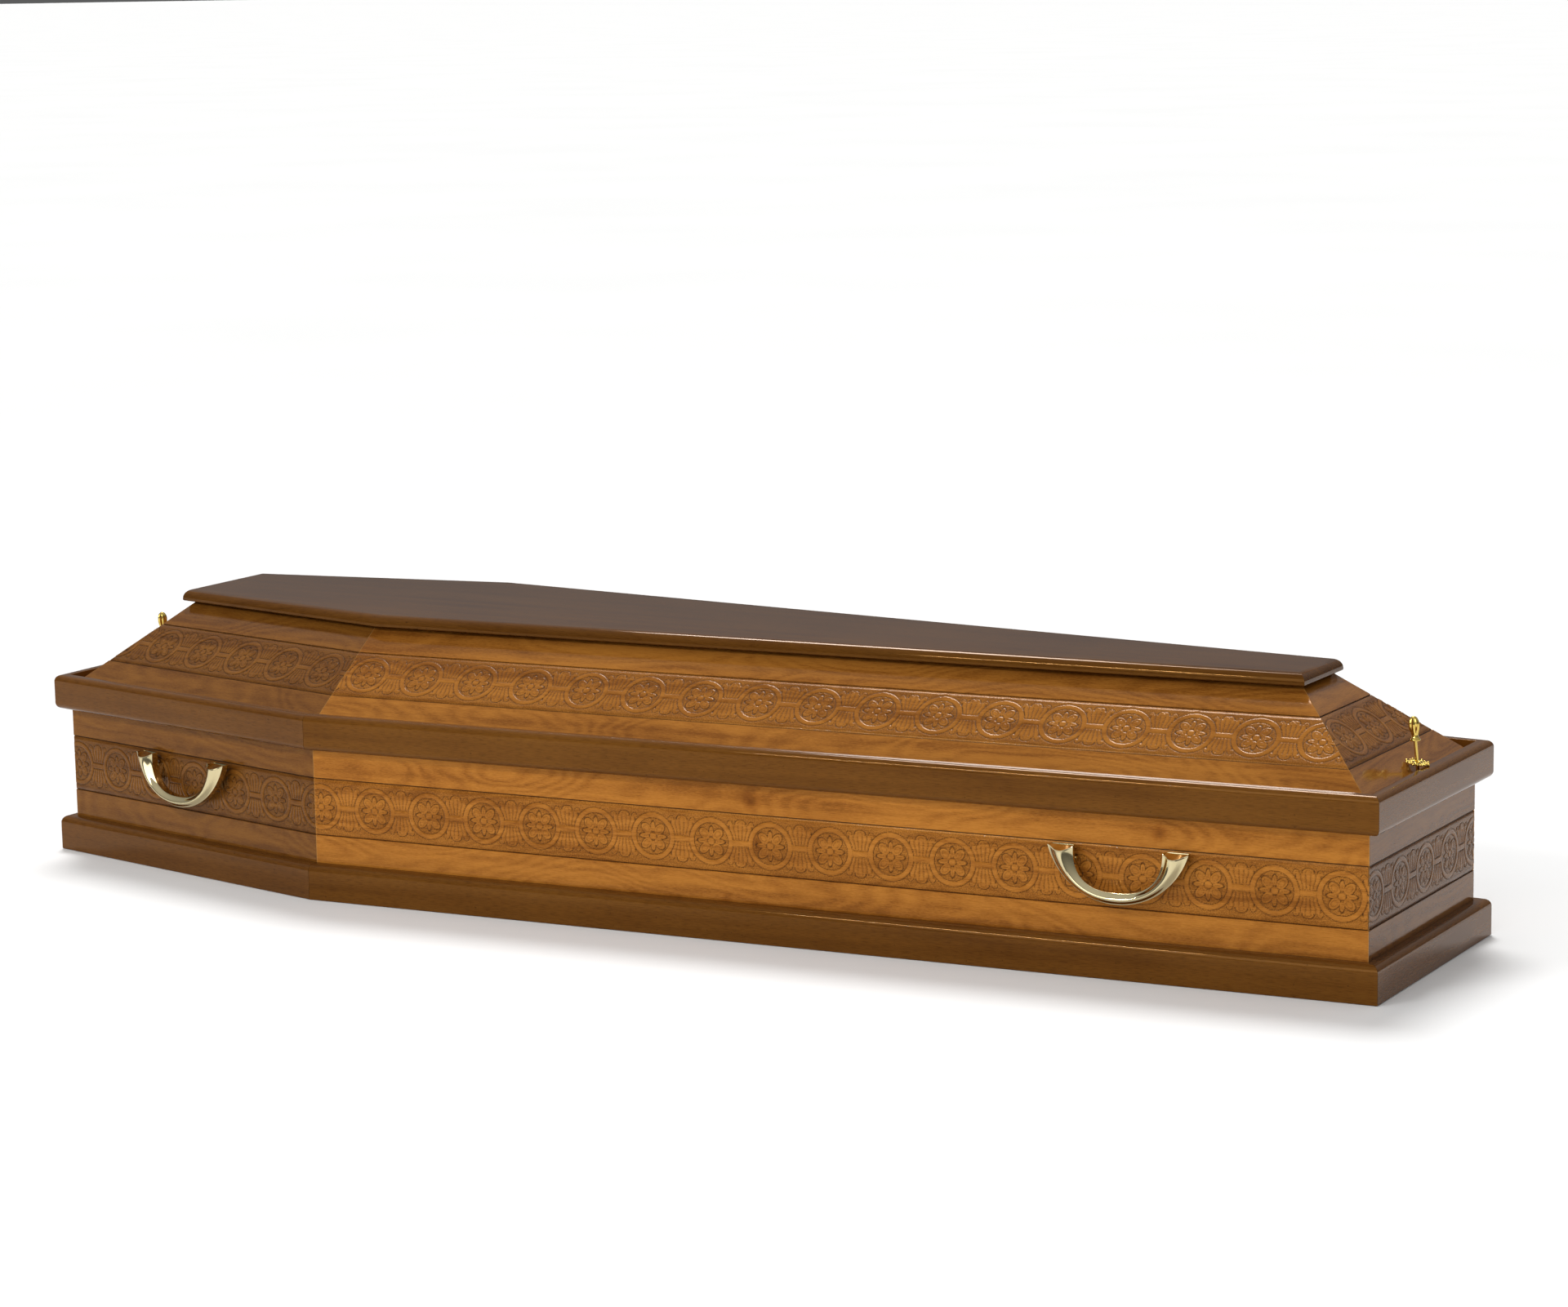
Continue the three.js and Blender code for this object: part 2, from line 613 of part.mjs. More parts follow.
for (const end of screwEnds) {
  add(`lid_screw_${end.name}`, screw(), screwBrass).applyMatrix4(screwPlace(end));
  const washer = add(`screw_rosette_${end.name}`, rosette(), screwBrass);
  washer.position.set(end.x, 0, ROSETTE_SEAT);
  washer.rotation.y = THREE.MathUtils.degToRad(end.tilt);
}

export default coffin;
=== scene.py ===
"""Looks of a six-sided wooden coffin: boards with pressed friezes, mouldings, brass handles and lid
screws, on a pale floor. Sizes below are in millimetres, and meshes are written in metres."""
import math

import bpy
import numpy as np
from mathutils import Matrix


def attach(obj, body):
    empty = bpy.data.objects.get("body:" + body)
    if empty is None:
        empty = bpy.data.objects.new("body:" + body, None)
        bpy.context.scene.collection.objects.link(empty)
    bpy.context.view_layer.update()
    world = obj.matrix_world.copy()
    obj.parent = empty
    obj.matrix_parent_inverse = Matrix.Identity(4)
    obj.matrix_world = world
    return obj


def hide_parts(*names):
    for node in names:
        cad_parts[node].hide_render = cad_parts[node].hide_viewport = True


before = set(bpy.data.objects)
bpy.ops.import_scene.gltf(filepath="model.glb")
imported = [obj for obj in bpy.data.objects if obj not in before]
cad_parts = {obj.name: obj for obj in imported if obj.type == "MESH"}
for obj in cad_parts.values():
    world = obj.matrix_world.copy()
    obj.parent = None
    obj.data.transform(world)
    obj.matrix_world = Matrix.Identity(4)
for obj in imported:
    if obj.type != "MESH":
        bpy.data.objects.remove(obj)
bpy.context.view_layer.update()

MM = 0.001
BODY = "root"

# Plan of the box over the outer faces of its boards
LENGTH = 2000
HEAD_WIDTH = 402
SHOULDER_WIDTH = 600
FOOT_WIDTH = 363
SHOULDER_FROM_HEAD = 508.5
PLAY = 0.3
MITRE_TRIM = 0.2

# Box, mouldings and lid
BOTTOM_THICKNESS = 22
BOARD_THICKNESS = 25
BOX_TOP = 240
MOULDING_DEPTH = 18.5
BASE_HEIGHT = 49
BASE_ROUND = 10
RIM_BOTTOM = 208
RIM_TOP = 257.5
RIM_ROUND = 9
EDGE_ROUND = 1.2
LID_FOOT = BOX_TOP + PLAY
LID_SHOULDER = 358.2
LID_INSET = 144
SLOPE_THICKNESS = 22
TOP_THICKNESS = 16
TOP_ROUND = 13
ARC_STEPS = 12

# Shift of the grain from one piece to the next
MOULDING_SHIFT = 3700
BOARD_SHIFT = 2900
EDGE_GRAIN = 0.9

# Frieze, measured from the middle of a medallion
FRIEZE_PITCH = 85.4
FRIEZE_HEIGHT = 79
BOX_FRIEZE_CENTRE = 127.5
LID_FRIEZE_CENTRE = 301
GROUND_DEPTH = 0.4
LINE_DEPTH = 0.55
LINE_HALF_WIDTH = 0.55
GROOVE_DEPTH = 1.6
GROOVE_HALF_WIDTH = 1.1
GROOVE_ROWS = (-1, -0.3, 0.3, 1)
GROOVE_STEEPNESS = 1.4
CARVED_HALF_HEIGHT = 33.5
RING_OUTER = 31.5
RING_INNER = 25.2
BOSS_RADIUS = 4.6
BOSS_CLEARANCE = 0.4
BOSS_LINE_GAP = 0.6
ROSETTE_MARGIN = 1.2
PETALS = 8
BROAD_PETAL = dict(centre=13.4, half_length=8.6, half_width=5.7)
SLIM_PETAL = dict(centre=12.6, half_length=6.6, half_width=2.9)
PETAL_LOOP_INSET = 2.4
PETAL_LINES_FROM = (8, 9)
SLIM_LINE_TO = (15.5, 17)
BAR_HALF_HEIGHT = 3.6
BAR_LINE_GAP = 0.4
BAR_END = (14, 15)
BAR_INTO_RING = (30, 31)
LEAVES_FROM = (RING_OUTER + 0.4, RING_OUTER + 1.4)
FAN_LEAVES = 5
FAN_WIDEST = 6.4
FAN_MARGIN = 1.0
FAN_START = (BAR_HALF_HEIGHT + 0.8, BAR_HALF_HEIGHT + 1.8)
FAN_TIP = 25.5
TIP_SOFTNESS = 0.8
FAN_TIP_FALL = 0.5
FLUTE_HALF_WIDTH = 1.0
FLUTE_OVERLAP = 1.2
CAP_CENTRE = 26.4
CAP_HALF_WIDTH = 7.0
CAP_HALF_HEIGHT = 4.6
KNOB_PLACE = (15.4, 25.6)
KNOB_RADIUS = 3.3
HEAD_LINES_FROM = (CAP_CENTRE - 2.5, CAP_CENTRE - 0.5)
CAP_LOOP_INSET = 2.2
KNOB_LOOP_INSET = 2.0
OUTLINE_GAP = 0.5

# Handles
HANDLE_WIDTH = 185
HANDLE_TOP = 166
HANDLE_BOTTOM = 98
HORN_WIDTH = 33.5
GRIP_HEIGHT = 14.5
INNER_FULLNESS = 2.5
HORN_EDGE = 20
GRIP_EDGE = 25
HANDLE_FLANK = 12
FLANK_CURVE = [(0.004, -0.8), (0.02, -4.0), (0.03, -HANDLE_FLANK + 2), (0.06, -HANDLE_FLANK)]
FLANK_POINTS = len(FLANK_CURVE)
RIDGE_RISE = 9
FACE_FULLNESS = 1.7
FACE_ROUNDING = 0.35
GRIP_FLATTENING = 0.35
HORN_SCOOP = 0.022
RIM_TUBE = 1.0
RIM_INSET = 0.6
RIM_SEGMENTS = 8
HANDLE_STATIONS = 90
HANDLE_FRONT_POINTS = 25
LEG_SPREAD = 64
LEG_HEIGHT_AT = 140
LEG_WIDTH = 11
LEG_HEIGHT = 22
LEG_OVERLAP = 1.0
SIDE_HANDLE_FROM_SHOULDER = 1180

# Lid screws and rosettes
SCREW_FROM_END = 9.5
SCREW_SEAT = 258.3
FOOT_SCREW_LEAN = math.radians(5.5)
SHANK_RADIUS = 2.2
SHANK_BURIED = 48
COLLAR_AT = 31
SCREW_TOP = 62
SCREW_FLUTES = 9
BUD_FLUTE_DEPTH = 0.2
ROSETTE_SEAT = 259.75
ROSETTE_TILT = math.radians(7.1)
ROSETTE_LOBES = 8
EYELET_FROM_AXIS = 9.8
TIP_BEAD_FROM_AXIS = 14.5
GAP_BEAD_FROM_AXIS = 12.6

# Angles under which neighbouring faces are shaded as one, in degrees
PLAIN_SMOOTH = 40
FRIEZE_SMOOTH = 62
HANDLE_SMOOTH = 38
SCREW_SMOOTH = 50
ROSETTE_SMOOTH = 60

# Camera and light
CAMERA_PLACE = (2.6892, -4.4720, 1.2282)
CAMERA_TURN = (1.3997, 0.0173, 0.5247)
CAMERA_LENS = 88.995
SENSOR_WIDTH = 36
CAMERA_REACH = 2000
FLOOR_SIZE = 1200
FLOOR_HEIGHT = -0.0005
SUNS = [
    ("front", 0.9, 40, (0, -2.1, 1.0)),
    ("back", 2.1, 22, (-0.32, 0.5, 1.0)),
]
STRIP_SIZE = (0.9, 0.05)
STRIP_PLACE = (-0.45, -2.45, 1.9)
STRIP_TARGET = (0.5, -0.25, 0.2)
STRIP_POWER = 22
SKY_LOW = 0.11
SKY_HIGH = 0.65

HALF = LENGTH / 2
SHOULDER_X = SHOULDER_FROM_HEAD - HALF
CORNERS = np.array([
    (-HALF, -HEAD_WIDTH / 2),
    (SHOULDER_X, -SHOULDER_WIDTH / 2),
    (HALF, -FOOT_WIDTH / 2),
    (HALF, FOOT_WIDTH / 2),
    (SHOULDER_X, SHOULDER_WIDTH / 2),
    (-HALF, HEAD_WIDTH / 2),
])

# Steps of the relief grid along and up the board: finest where the board is seen from the front
FINE_STEP = (1.05, 1.05)
LONG_STEP = (1.12, 1.16)
BACK_STEP = (2.2, 2.0)
HEAD_MIDDLE = HEAD_WIDTH / 2

# Each side's top inset, first medallion on its box board and on its lid board, grid step, and the tone
# group that picks its copy of the veneer, darkened as painted shade
SIDES = [
    dict(name="shoulder_front", top=131, box=10.4, lid=38, back=False, step=FINE_STEP, tone="shoulder"),
    dict(name="side_front", top=128, box=10.2, lid=46.5, back=False, step=LONG_STEP, tone="side"),
    dict(name="foot", top=134, box=17.5, lid=25.7, back=False, step=FINE_STEP, tone="end"),
    dict(name="side_back", top=128, box=10.2, lid=46.5, back=True, step=BACK_STEP, tone="side"),
    dict(name="shoulder_back", top=131, box=10.4, lid=38, back=True, step=BACK_STEP, tone="shoulder"),
    dict(name="head", top=125, box=HEAD_MIDDLE, lid=HEAD_MIDDLE, back=False, step=BACK_STEP, tone="end"),
]
for number, side in enumerate(SIDES):
    side["start"] = CORNERS[number]
    run = CORNERS[(number + 1) % len(CORNERS)] - CORNERS[number]
    side["length"] = float(np.hypot(*run))
    side["along"] = run / side["length"]
    side["out"] = np.array([side["along"][1], -side["along"][0]])


# Mesh helpers

def cross2(a, b):
    return a[0] * b[1] - a[1] * b[0]


def corner_at(index, offsets):
    """Plan corner before a side once every side is moved out by its own offset."""
    before = (index - 1) % len(SIDES)
    a, b = SIDES[before], SIDES[index]
    p = a["start"] + a["out"] * offsets[before]
    q = b["start"] + b["out"] * offsets[index]
    return p + a["along"] * (cross2(q - p, b["along"]) / cross2(a["along"], b["along"]))


def evenly(offset):
    return [offset] * len(SIDES)


def make_piece(name, points, quads, ngons, material, grain=None, sunk=None, smooth=PLAIN_SMOOTH):
    """A mesh piece from points in millimetres, riding on the one body."""
    mesh = bpy.data.meshes.new(name)
    points = np.asarray(points, dtype=np.float64) * MM
    quads = np.asarray(quads, dtype=np.int32).reshape(-1, 4)
    loops = np.concatenate([quads.ravel()] + [np.asarray(n, dtype=np.int32) for n in ngons])
    sizes = np.concatenate([np.full(len(quads), 4), np.array([len(n) for n in ngons], dtype=int)])
    starts = np.concatenate([[0], np.cumsum(sizes)[:-1]]).astype(np.int32)
    mesh.vertices.add(len(points))
    mesh.vertices.foreach_set("co", points.ravel())
    mesh.loops.add(len(loops))
    mesh.loops.foreach_set("vertex_index", loops)
    mesh.polygons.add(len(sizes))
    mesh.polygons.foreach_set("loop_start", starts)
    mesh.update(calc_edges=True)
    mesh.validate()
    if grain is not None:
        layer = mesh.uv_layers.new(name="grain")
        layer.uv.foreach_set("vector", (np.asarray(grain) * MM)[loops].ravel())
    if sunk is not None:
        attribute = mesh.attributes.new("sunk", "FLOAT", "POINT")
        attribute.data.foreach_set("value", np.asarray(sunk, dtype=np.float32))
    mesh.shade_smooth()
    mesh.set_sharp_from_angle(angle=math.radians(smooth))
    mesh.materials.append(material)
    piece = bpy.data.objects.new(name, mesh)
    bpy.context.scene.collection.objects.link(piece)
    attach(piece, BODY)
    return piece


def ring_quads(rings, count):
    """Quads of a tube through a number of rings that each have the same count of points."""
    r, k = np.meshgrid(np.arange(rings - 1), np.arange(count), indexing="ij")
    a = r * count + k
    b = r * count + (k + 1) % count
    return np.stack([a, a + count, b + count, b], axis=-1).reshape(-1, 4)


def quarter(offset, z, radius, start, end):
    angles = np.radians(np.linspace(start, end, ARC_STEPS + 1))
    return [(offset + radius * math.cos(t), z + radius * math.sin(t)) for t in angles]


# Mouldings and plain boards

BASE_PROFILE = [
    (PLAY, 0),
    *quarter(MOULDING_DEPTH - EDGE_ROUND, EDGE_ROUND, EDGE_ROUND, -90, 0),
    *quarter(MOULDING_DEPTH - BASE_ROUND, BASE_HEIGHT - BASE_ROUND, BASE_ROUND, 0, 90),
    (PLAY, BASE_HEIGHT),
]
RIM_PROFILE = [
    (PLAY, RIM_BOTTOM),
    *quarter(MOULDING_DEPTH - RIM_ROUND, RIM_BOTTOM + RIM_ROUND, RIM_ROUND, -90, 0),
    *quarter(MOULDING_DEPTH - RIM_ROUND, RIM_TOP - RIM_ROUND, RIM_ROUND, 0, 90),
    *quarter(PLAY + EDGE_ROUND, RIM_TOP - EDGE_ROUND, EDGE_ROUND, 90, 180),
]


def moulding(index, node, profile, material):
    """A mitred length of moulding along one side."""
    side = SIDES[index]
    rings = []
    for corner, trim in ((index, MITRE_TRIM), ((index + 1) % len(SIDES), -MITRE_TRIM)):
        for offset, z in profile:
            rings.append([*(corner_at(corner, evenly(offset)) + side["along"] * trim), z])
    points = np.array(rings)
    count = len(profile)
    along = (points[:, :2] - side["start"]) @ side["along"]
    girth = np.concatenate([[0], np.cumsum(np.hypot(*np.diff(np.array(profile), axis=0).T))])
    shift = index * MOULDING_SHIFT
    grain = np.stack([along + shift, np.tile(girth, 2) + shift], axis=-1)
    caps = [list(range(count)), list(range(2 * count - 1, count - 1, -1))]
    piece = make_piece(node + "_look", points, ring_quads(2, count), caps, material, grain)
    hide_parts(node)


def plan_board(node, levels, material):
    """A board over the whole plan, through levels of side offsets and heights from the top down."""
    points = []
    for offsets, z in levels:
        points += [[*corner_at(i, offsets), z] for i in range(len(SIDES))]
    points = np.array(points)
    count = len(SIDES)
    last = len(points) - count
    caps = [list(range(count)), list(range(last + count - 1, last - 1, -1))]
    grain = points[:, :2] + (0, 1) * (points[:, 2:3] * EDGE_GRAIN)
    piece = make_piece(node + "_look", points, ring_quads(len(levels), count), caps, material, grain)
    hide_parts(node)


def top_board(material):
    under = LID_SHOULDER + PLAY
    top = under + TOP_THICKNESS
    levels = []
    for turn in np.linspace(math.pi / 2, 0, ARC_STEPS + 1):
        inset = TOP_ROUND * (1 - math.cos(turn))
        levels.append(([-s["top"] - inset for s in SIDES], top - TOP_ROUND * (1 - math.sin(turn))))
    levels.append(([-s["top"] for s in SIDES], under + EDGE_ROUND))
    levels.append(([-s["top"] - EDGE_ROUND for s in SIDES], under))
    plan_board("lid_top", levels, material)


def bottom_board(material):
    levels = [(evenly(0), BOTTOM_THICKNESS), (evenly(0), 0)]
    plan_board("bottom_board", levels, material)


# Frieze relief

def step(low, high, x):
    t = np.clip((x - low) / (high - low), 0, 1)
    return t * t * (3 - 2 * t)


def within(distance, soft=0.9):
    """1 inside an outline (negative distance), falling to 0 over a soft edge."""
    return 1 - step(-soft / 2, soft / 2, distance)


def line(distance):
    """1 along an outline, falling to 0 beside it."""
    return within(np.abs(distance) - LINE_HALF_WIDTH)


def ellipse(x, y, half_width, half_height):
    """Rough distance to an ellipse about the origin, negative inside."""
    smaller = min(half_width, half_height)
    return (np.hypot(x / half_width, y / half_height) - 1) * smaller


def petal(p, q, size):
    return ellipse(p - size["centre"], q, size["half_length"], size["half_width"])


def rosette_petals(x, y):
    """Distances to the eight petals: broad ones on the diagonals, slim ones on the axes."""
    distances = []
    loops = np.zeros_like(x)
    for k in range(PETALS):
        turn = k * 2 * math.pi / PETALS
        p = x * math.cos(turn) + y * math.sin(turn)
        q = y * math.cos(turn) - x * math.sin(turn)
        if k % 2:
            distance = petal(p, q, BROAD_PETAL)
            loops = np.maximum(loops, line(distance + PETAL_LOOP_INSET) * step(*PETAL_LINES_FROM, p))
        else:
            distance = petal(p, q, SLIM_PETAL)
            vein = line(q) * step(*PETAL_LINES_FROM, p) * (1 - step(*SLIM_LINE_TO, p))
            loops = np.maximum(loops, vein)
        distances.append(distance)
    return np.sort(np.stack(distances), axis=0)[:2], loops


def medallion(x, y):
    """Rise and line shares of a ring with a rosette in it."""
    r = np.hypot(x, y)
    half_band = (RING_OUTER - RING_INNER) / 2
    band = np.abs(r - RING_INNER - half_band) - half_band
    (nearest, second), loops = rosette_petals(x, y)
    boss = r - BOSS_RADIUS
    rise = np.maximum(within(band), np.maximum(within(nearest), within(boss)))
    between = line(nearest - second) * within(nearest)
    outline = np.maximum(line(nearest - OUTLINE_GAP), np.maximum(between, loops))
    outline = outline * (1 - within(boss - BOSS_CLEARANCE))
    outline = np.maximum(outline, line(boss - BOSS_LINE_GAP))
    outline = np.where(r < RING_INNER - ROSETTE_MARGIN, outline, line(band - OUTLINE_GAP))
    return rise, outline


def palmette(x, y):
    """Rise and line shares of fluted leaves between two rings, under a cap and two knobs."""
    waist = FRIEZE_PITCH / 2 - np.sqrt(np.maximum(RING_OUTER ** 2 - y ** 2, 0)) - FAN_MARGIN
    spacing = np.minimum(waist * 2 / FAN_LEAVES, FAN_WIDEST)
    across = np.abs(x) / spacing
    leaf = np.minimum(np.round(across), FAN_LEAVES // 2)
    beside = (np.abs(across - leaf) - 0.5) * spacing
    tip = FAN_TIP - FAN_TIP_FALL * leaf
    span = step(*FAN_START, y) * (1 - step(tip - TIP_SOFTNESS, tip + TIP_SOFTNESS, y))
    cap = ellipse(x, y - CAP_CENTRE, CAP_HALF_WIDTH, CAP_HALF_HEIGHT)
    knob = np.hypot(np.abs(x) - KNOB_PLACE[0], y - KNOB_PLACE[1]) - KNOB_RADIUS
    heads = np.minimum(cap, knob)
    rise = np.maximum(within(beside) * span, within(heads))
    flutes = within(np.abs(beside) - FLUTE_HALF_WIDTH) * span * (1 - within(heads + FLUTE_OVERLAP))
    upper = step(*HEAD_LINES_FROM, y)
    loops = np.maximum(line(cap + CAP_LOOP_INSET), line(knob + KNOB_LOOP_INSET))
    heads_line = np.maximum(line(heads - OUTLINE_GAP), loops)
    return rise, np.maximum(flutes, heads_line * upper)


def relief(u, v):
    """Depth of the frieze below the board's face, at u from a medallion and v from the middle."""
    x = (u + FRIEZE_PITCH / 2) % FRIEZE_PITCH - FRIEZE_PITCH / 2
    link = FRIEZE_PITCH / 2 - np.abs(x)
    y = np.abs(v)
    r = np.hypot(x, y)
    ring_rise, ring_line = medallion(x, v)
    leaf_rise, leaf_line = palmette(link, y)
    outside = step(*LEAVES_FROM, r)
    bar = y - BAR_HALF_HEIGHT
    bar_share = outside * (1 - step(*BAR_END, link))
    rise = np.maximum(ring_rise, np.maximum(leaf_rise * outside, within(bar) * bar_share))
    crossing = within(bar) * step(*BAR_INTO_RING, np.abs(x))
    cut = np.maximum(ring_line * (1 - crossing), leaf_line * outside)
    cut = np.maximum(cut * (1 - within(bar) * bar_share), line(bar - BAR_LINE_GAP) * bar_share)
    return -GROUND_DEPTH * (1 - rise) - LINE_DEPTH * cut


def row_heights(low, high, up_step):
    """Heights of the grid rows on a board's face, close together over the carving and its grooves."""
    edge = FRIEZE_HEIGHT / 2
    count = int(round(2 * CARVED_HALF_HEIGHT / up_step))
    inside = np.linspace(-CARVED_HALF_HEIGHT, CARVED_HALF_HEIGHT, count + 1)
    groove = np.array(GROOVE_ROWS) * GROOVE_HALF_WIDTH
    return np.concatenate([[low], groove - edge, inside, groove + edge, [high]])


def face_depth(u, v, phase):
    edge = FRIEZE_HEIGHT / 2
    from_groove = np.abs(np.abs(v) - edge)
    depth = np.where(np.abs(v) < edge, relief(u - phase, v), 0.0)
    cut = np.clip(GROOVE_STEEPNESS - from_groove / GROOVE_HALF_WIDTH * GROOVE_STEEPNESS, 0, 1)
    return np.minimum(depth, -GROOVE_DEPTH * cut)


def frieze_board(index, node, profile, frieze, start, material):
    """A mitred board whose outer face carries the frieze in its mesh. The profile's corners run from
    inside below to outside below, outside above and inside above, as offsets and heights. The frieze is
    the inset and height of its middle line."""
    side = SIDES[index]
    inset, frieze_z = frieze
    along = np.array([*side["along"], 0])
    out = np.array([*side["out"], 0])
    (low_offset, low_z), (high_offset, high_z) = profile[1], profile[2]
    up = out * (high_offset - low_offset) + np.array([0, 0, high_z - low_z])
    up = up / np.linalg.norm(up)
    normal = np.cross(along, up)
    origin = np.array([*(side["start"] - side["out"] * inset), frieze_z])
    axes = np.stack([along, up, normal])

    ends = []
    for corner, trim in ((index, MITRE_TRIM), ((index + 1) % len(SIDES), -MITRE_TRIM)):
        ring = [[*(corner_at(corner, evenly(o)) + side["along"] * trim), z] for o, z in profile]
        local = (np.array(ring) - origin) @ axes.T
        basis = np.column_stack([np.ones(3), local[:3, 1:]])
        ends.append((local, np.linalg.solve(basis, local[:3, 0])))

    corners = ends[0][0]
    rows = row_heights(corners[1, 1], corners[2, 1], side["step"][1])
    v = np.concatenate([rows, [corners[3, 1], corners[0, 1]]])
    depth_rows = np.concatenate([np.zeros(len(rows)), [corners[3, 2], corners[0, 2]]])
    columns = int(math.ceil(side["length"] / side["step"][0]))
    share = np.linspace(0, 1, columns + 1)[:, None]
    limits = [c[0] + c[1] * v + c[2] * depth_rows for _, c in ends]
    u = limits[0] * (1 - share) + limits[1] * share
    vv = np.broadcast_to(v, u.shape)
    phase = side["length"] - start if side["back"] else start
    w = np.broadcast_to(depth_rows, u.shape).copy()
    w[:, :len(rows)] = face_depth(u[:, :len(rows)], vv[:, :len(rows)], phase)
    sunk = np.zeros_like(w)
    sunk[:, :len(rows)] = np.clip(-w[:, :len(rows)] / (GROUND_DEPTH + LINE_DEPTH), 0, 1)
    sunk[[0, -1], :len(rows)] = -1

    points = np.stack([u, vv, w], axis=-1).reshape(-1, 3) @ axes + origin
    count = len(v)
    quads = ring_quads(columns + 1, count)
    last = columns * count
    caps = [list(range(count)), list(range(last + count - 1, last - 1, -1))]
    shift = (index + (len(SIDES) if inset else 0)) * BOARD_SHIFT
    grain = np.stack([u + shift, vv + shift], axis=-1).reshape(-1, 2)
    piece = make_piece(
        node + "_look", points, quads, caps, material, grain, sunk.ravel(), FRIEZE_SMOOTH
    )
    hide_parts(node)


BOARD_PROFILE = [
    (-BOARD_THICKNESS, BOTTOM_THICKNESS + PLAY),
    (0, BOTTOM_THICKNESS + PLAY),
    (0, BOX_TOP),
    (-BOARD_THICKNESS, BOX_TOP),
]
SLOPE_RISE = LID_SHOULDER - LID_FOOT
SLOPE_FOOT = SLOPE_THICKNESS * math.hypot(SLOPE_RISE, LID_INSET) / SLOPE_RISE
SLOPE_PROFILE = [
    (-SLOPE_FOOT, LID_FOOT),
    (0, LID_FOOT),
    (-LID_INSET, LID_SHOULDER),
    (-LID_INSET - SLOPE_FOOT, LID_SHOULDER),
]
BOX_FRIEZE = (0, BOX_FRIEZE_CENTRE)
LID_FRIEZE = (LID_INSET * (LID_FRIEZE_CENTRE - LID_FOOT) / SLOPE_RISE, LID_FRIEZE_CENTRE)


# Handles

def outer_arc(s):
    """Point on the crescent's outer arc, with s from 0 to 1 along it."""
    half_width = HANDLE_WIDTH / 2
    drop = HANDLE_TOP - HANDLE_BOTTOM
    radius = (half_width ** 2 + drop ** 2) / (2 * drop)
    centre = HANDLE_BOTTOM + radius
    sweep = math.acos((centre - HANDLE_TOP) / radius)
    angle = -math.pi / 2 + sweep * (2 * s - 1)
    return np.array([radius * math.cos(angle), centre + radius * math.sin(angle)])


def inner_arc(s):
    """Point on the crescent's inner edge, which is fuller than an ellipse."""
    power = 2 / INNER_FULLNESS
    half_width = HANDLE_WIDTH / 2 - HORN_WIDTH
    drop = HANDLE_TOP - HANDLE_BOTTOM - GRIP_HEIGHT
    cosine = math.cos(math.pi * s)
    across = math.copysign(abs(cosine) ** power, cosine)
    return np.array([-half_width * across, HANDLE_TOP - drop * max(math.sin(math.pi * s), 0) ** power])


def handle_point(s, across, rise, scoop):
    """Point of the handle in its board's frame; scoop holds it back from the horn tips."""
    s = min(max(s, HORN_SCOOP * scoop), 1 - HORN_SCOOP * scoop)
    outer, inner = outer_arc(s), inner_arc(s)
    grip = math.sin(math.pi * s)
    edge = HORN_EDGE + (GRIP_EDGE - HORN_EDGE) * grip
    if rise > 0:
        rise *= 1 - GRIP_FLATTENING * grip
    return [*(outer + (inner - outer) * across), edge + rise]


def handle_face():
    """Face from the outer to the inner edge, rounded into a soft ridge: place across, rise and share
    of the scoop."""
    across = 0.5 - 0.5 * np.cos(np.linspace(0, math.pi, HANDLE_FRONT_POINTS))
    from_ridge = np.abs(2 * across - 1)
    round_rise = 1 - from_ridge ** FACE_FULLNESS
    soft_rise = 0.5 + 0.5 * np.cos(math.pi * from_ridge)
    rise = RIDGE_RISE * (FACE_ROUNDING * round_rise + (1 - FACE_ROUNDING) * soft_rise)
    return [(a, h, math.sin(math.pi * a)) for a, h in zip(across, rise)]


def handle_section():
    """Section points over the face to the inner edge, then back behind the handle."""
    inner = [(1 - a, h, 0.0) for a, h in FLANK_CURVE]
    back = [(a, -HANDLE_FLANK, 0.0) for a in np.linspace(0.9, 0.1, HANDLE_FRONT_POINTS)]
    outer = [(a, h, 0.0) for a, h in FLANK_CURVE[::-1]]
    return handle_face() + inner + back + outer


def rim_tube(s):
    """A thin rounded rim around the end of a horn."""
    path = np.array([handle_point(s, *point) for point in handle_section()])
    run = np.roll(path, -1, axis=0) - np.roll(path, 1, axis=0)
    run /= np.linalg.norm(run, axis=1)[:, None]
    inward = path.mean(axis=0) - path
    inward -= run * np.sum(inward * run, axis=1)[:, None]
    inward /= np.linalg.norm(inward, axis=1)[:, None]
    upward = np.cross(run, inward)
    turns = np.linspace(0, 2 * math.pi, RIM_SEGMENTS, endpoint=False)
    centre = path + RIM_TUBE * RIM_INSET * inward
    rings = [centre + RIM_TUBE * (math.cos(t) * inward + math.sin(t) * upward) for t in turns]
    count = len(turns)
    points = np.stack(rings, axis=1).reshape(-1, 3)
    a = np.arange(len(path))[:, None] * count + np.arange(count)
    b = np.roll(a, -1, axis=0)
    quads = np.stack([a, b, np.roll(b, -1, axis=1), np.roll(a, -1, axis=1)], axis=-1)
    return points, quads.reshape(-1, 4)


def box_mesh(centre, size):
    """Corner points and quads of a block, for a leg behind a horn."""
    signs = np.array([(x, y, z) for z in (-1, 1) for y in (-1, 1) for x in (-1, 1)])
    quads = [(0, 2, 3, 1), (4, 5, 7, 6), (0, 1, 5, 4), (2, 6, 7, 3), (0, 4, 6, 2), (1, 3, 7, 5)]
    return np.array(centre) + signs * np.array(size) / 2, np.array(quads)


